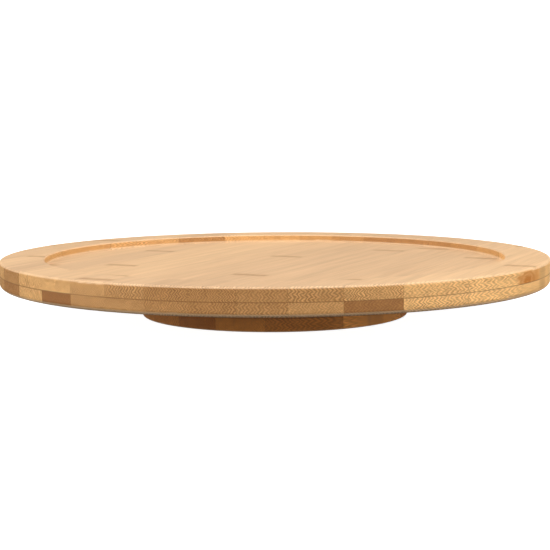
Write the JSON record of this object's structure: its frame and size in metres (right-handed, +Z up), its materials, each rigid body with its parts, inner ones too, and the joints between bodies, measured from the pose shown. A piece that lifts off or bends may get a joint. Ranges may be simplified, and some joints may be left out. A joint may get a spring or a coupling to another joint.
{
  "type": "lazy susan turntable",
  "caption": "Round bamboo turntable with a shallow rimmed dish, turning on a ball bearing ring over a smaller round base.",
  "frame": {"origin": "centre of the footprint on the spin axis, on the plane that the four pads stand on", "axes": "+Z up along the spin axis; X and Y are horizontal, with the platter's grain 65 degrees from +X towards +Y"},
  "size_m": [0.3, 0.3, 0.033],
  "materials": {
    "bamboo_light": "satin lacquered bamboo, light",
    "bamboo_mid": "satin lacquered bamboo, carbonised tan",
    "bamboo_dark": "satin lacquered bamboo, carbonised brown",
    "ring_aluminium": "turned and anodised",
    "ball_steel": "polished",
    "screw_steel": "zinc plated",
    "cage_plastic": "moulded, natural white",
    "pad_rubber": "matt"
  },
  "bodies": {
    "base": {"base_lower_strip_01": "bamboo_mid", "base_lower_strip_02": "bamboo_dark", "base_lower_strip_03": "bamboo_mid", "base_lower_strip_04": "bamboo_dark", "base_lower_strip_05": "bamboo_mid", "base_lower_strip_06": "bamboo_mid", "base_lower_strip_07": "bamboo_dark", "base_lower_strip_08": "bamboo_mid", "base_upper_strip_01": "bamboo_mid", "base_upper_strip_02": "bamboo_dark", "base_upper_strip_03": "bamboo_mid", "base_upper_strip_04": "bamboo_dark", "base_upper_strip_05": "bamboo_mid", "base_upper_strip_06": "bamboo_mid", "base_upper_strip_07": "bamboo_dark", "base_upper_strip_08": "bamboo_mid", "bearing_outer_ring": "ring_aluminium", "ball_filler_plug": "ring_aluminium", "base_screws": "screw_steel", "anti_slip_pads": "pad_rubber"},
    "platter": {"platter_lower_strip_01": "bamboo_light", "platter_lower_strip_02": "bamboo_light", "platter_lower_strip_03": "bamboo_dark", "platter_lower_strip_04": "bamboo_mid", "platter_lower_strip_05": "bamboo_mid", "platter_lower_strip_06": "bamboo_mid", "platter_lower_strip_07": "bamboo_mid", "platter_lower_strip_08": "bamboo_mid", "platter_lower_strip_09": "bamboo_mid", "platter_lower_strip_10": "bamboo_dark", "platter_lower_strip_11": "bamboo_light", "platter_lower_strip_12": "bamboo_dark", "platter_lower_strip_13": "bamboo_mid", "platter_lower_strip_14": "bamboo_light", "platter_lower_strip_15": "bamboo_mid", "platter_upper_strip_01": "bamboo_light", "platter_upper_strip_02": "bamboo_light", "platter_upper_strip_03": "bamboo_mid", "platter_upper_strip_04": "bamboo_mid", "platter_upper_strip_05": "bamboo_mid", "platter_upper_strip_06": "bamboo_mid", "platter_upper_strip_07": "bamboo_mid", "platter_upper_strip_08": "bamboo_dark", "platter_upper_strip_09": "bamboo_mid", "platter_upper_strip_10": "bamboo_light", "platter_upper_strip_11": "bamboo_light", "platter_upper_strip_12": "bamboo_mid", "platter_upper_strip_13": "bamboo_light", "platter_upper_strip_14": "bamboo_mid", "platter_upper_strip_15": "bamboo_light", "bearing_inner_ring": "ring_aluminium", "platter_screws": "screw_steel"},
    "ball_set": {"ball_cage": "cage_plastic", "bearing_balls": "ball_steel"}
  },
  "joints": [
    {"name": "platter_spin", "type": "hinge", "parent": "base", "child": "platter", "pos_m": [0, 0, 0.015], "axis": [0, 0, 1], "continuous": true},
    {"name": "ball_set_spin", "type": "hinge", "parent": "base", "child": "ball_set", "pos_m": [0, 0, 0.015], "axis": [0, 0, 1], "continuous": true}
  ],
  "couplings": [
    {"joint": "ball_set_spin", "follows": "platter_spin", "ratio": 0.48}
  ]
}
